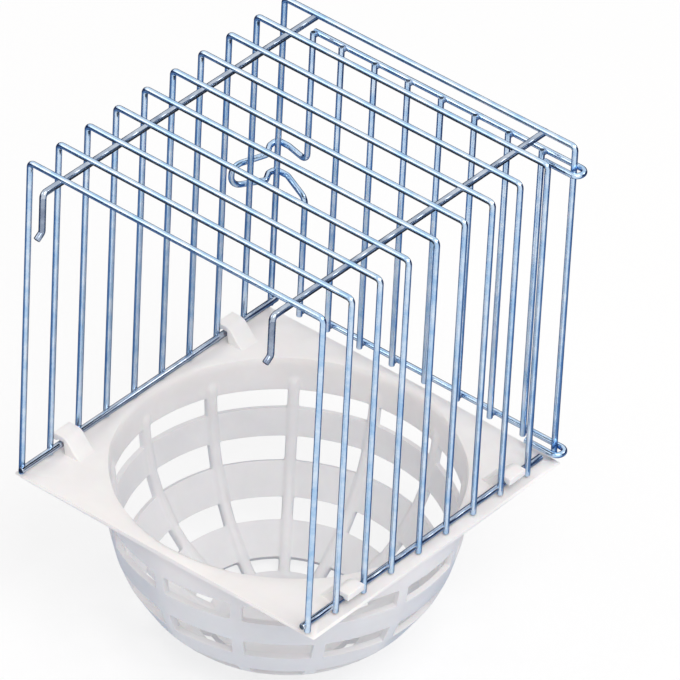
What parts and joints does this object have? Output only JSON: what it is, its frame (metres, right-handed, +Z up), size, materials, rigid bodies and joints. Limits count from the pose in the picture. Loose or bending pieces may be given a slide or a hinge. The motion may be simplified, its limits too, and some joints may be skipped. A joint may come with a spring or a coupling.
{
  "type": "external bird nest",
  "caption": "External cage-bird nest: a perforated plastic nest pan clipped under a wire cage with a hinged, latched rear door and hooks that hang it on a cage opening.",
  "frame": {"origin": "centre of the nest pan's flat underside", "axes": "+Z up, -Y to the open front with the hanging hooks, +Y to the rear door, +X to the door's hinge side"},
  "size_m": [0.114, 0.1215, 0.1648],
  "materials": {
    "zinc_wire": "bright zinc plated steel wire",
    "white_plastic": "satin moulded"
  },
  "bodies": {
    "pan": {"nest_pan": "white_plastic"},
    "cage": {"hoop_01": "zinc_wire", "hoop_02": "zinc_wire", "hoop_03": "zinc_wire", "hoop_04": "zinc_wire", "hoop_05": "zinc_wire", "hoop_06": "zinc_wire", "hoop_07": "zinc_wire", "hoop_08": "zinc_wire", "hoop_09": "zinc_wire", "hoop_10": "zinc_wire", "left_hook_wire": "zinc_wire", "right_hook_wire": "zinc_wire", "left_bottom_rail": "zinc_wire", "right_bottom_rail": "zinc_wire"},
    "door": {"door_top_wire": "zinc_wire", "door_bottom_wire": "zinc_wire", "door_latch_wire": "zinc_wire", "door_bar_2": "zinc_wire", "door_bar_3": "zinc_wire", "door_bar_4": "zinc_wire", "door_bar_5": "zinc_wire", "door_bar_6": "zinc_wire", "door_bar_7": "zinc_wire", "door_bar_8": "zinc_wire"}
  },
  "joints": [
    {"name": "cage_lift", "type": "slide", "parent": "pan", "child": "cage", "axis": [0, 0, 1], "range_m": [0, 0.07]},
    {"name": "door_hinge", "type": "hinge", "parent": "cage", "child": "door", "pos_m": [0.05225, 0.054, 0.0592], "axis": [0, 0, -1], "range_deg": [0, 225]}
  ]
}
